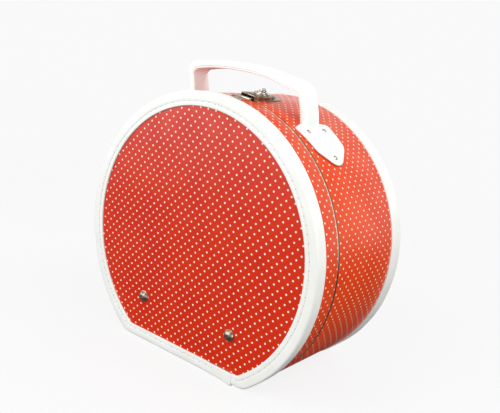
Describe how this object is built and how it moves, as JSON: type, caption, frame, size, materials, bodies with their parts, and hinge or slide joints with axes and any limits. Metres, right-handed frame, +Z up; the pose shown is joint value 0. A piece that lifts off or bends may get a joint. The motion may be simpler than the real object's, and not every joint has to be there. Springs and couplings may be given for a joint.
{
  "type": "hat box",
  "caption": "Round upright hat box with a flat base, a front lid hinged at the base, a turn-knob lock on top and a bridge handle.",
  "frame": {"origin": "on the floor under the middle of the box", "axes": "+X to the box's right seen from the front, +Y from the lid to the back, +Z up"},
  "size_m": [0.3028, 0.1584, 0.3055],
  "materials": {
    "dotted_vinyl": "glossy coated cloth, red with white pin dots",
    "white_vinyl": "fine-grained, satin",
    "hardboard": "raw",
    "lining_cloth": "plain weave",
    "frame_metal": "pale gilt, satin",
    "stay_ribbon": "woven tape",
    "spring_steel": "blued",
    "nickel_steel": "antique nickel",
    "hinge_steel": "nickel plated",
    "lock_chrome": "polished nickel"
  },
  "bodies": {
    "base": {"back_binding": "white_vinyl", "back_board": "hardboard", "back_cover": "dotted_vinyl", "back_lining_panel": "lining_cloth", "base_frame": "frame_metal", "base_hoop_board": "hardboard", "base_hoop_cover": "dotted_vinyl", "base_lining_band": "lining_cloth", "handle_core": "spring_steel", "handle_cover": "white_vinyl", "handle_rivets": "nickel_steel", "handle_shield_left": "white_vinyl", "handle_shield_right": "white_vinyl", "handle_washers": "nickel_steel", "hinge_leaf_base_left": "hinge_steel", "hinge_leaf_base_right": "hinge_steel", "hinge_pin_left": "hinge_steel", "hinge_pin_right": "hinge_steel", "hinge_rivets_base": "hinge_steel", "lock_base_plate": "lock_chrome", "lock_boss": "lock_chrome", "lock_case": "lock_chrome", "lock_rivets": "lock_chrome", "lock_washers": "nickel_steel", "stay_patches": "white_vinyl"},
    "lid": {"face_studs": "nickel_steel", "hinge_leaf_lid_left": "hinge_steel", "hinge_leaf_lid_right": "hinge_steel", "hinge_rivets_lid": "hinge_steel", "lid_binding": "white_vinyl", "lid_face_board": "hardboard", "lid_face_cover": "dotted_vinyl", "lid_frame": "frame_metal", "lid_hoop_board": "hardboard", "lid_hoop_cover": "dotted_vinyl", "lid_lining_band": "lining_cloth", "lid_lining_panel": "lining_cloth", "stay_tape_left": "stay_ribbon", "stay_tape_right": "stay_ribbon", "striker_plate": "lock_chrome", "striker_rivets": "lock_chrome", "striker_washers": "nickel_steel", "stud_washers": "nickel_steel"},
    "knob": {"lock_knob": "lock_chrome", "latch_lever": "lock_chrome"}
  },
  "joints": [
    {"name": "lid_hinge", "type": "hinge", "parent": "base", "child": "lid", "pos_m": [0, -0.0419, 0.0013], "axis": [1, 0, 0], "range_deg": [0, 95]},
    {"name": "knob_turn", "type": "hinge", "parent": "base", "child": "knob", "pos_m": [0.02088, -0.0182, 0.28171], "axis": [0.1323, 0, 0.9912], "range_deg": [0, 22]}
  ]
}
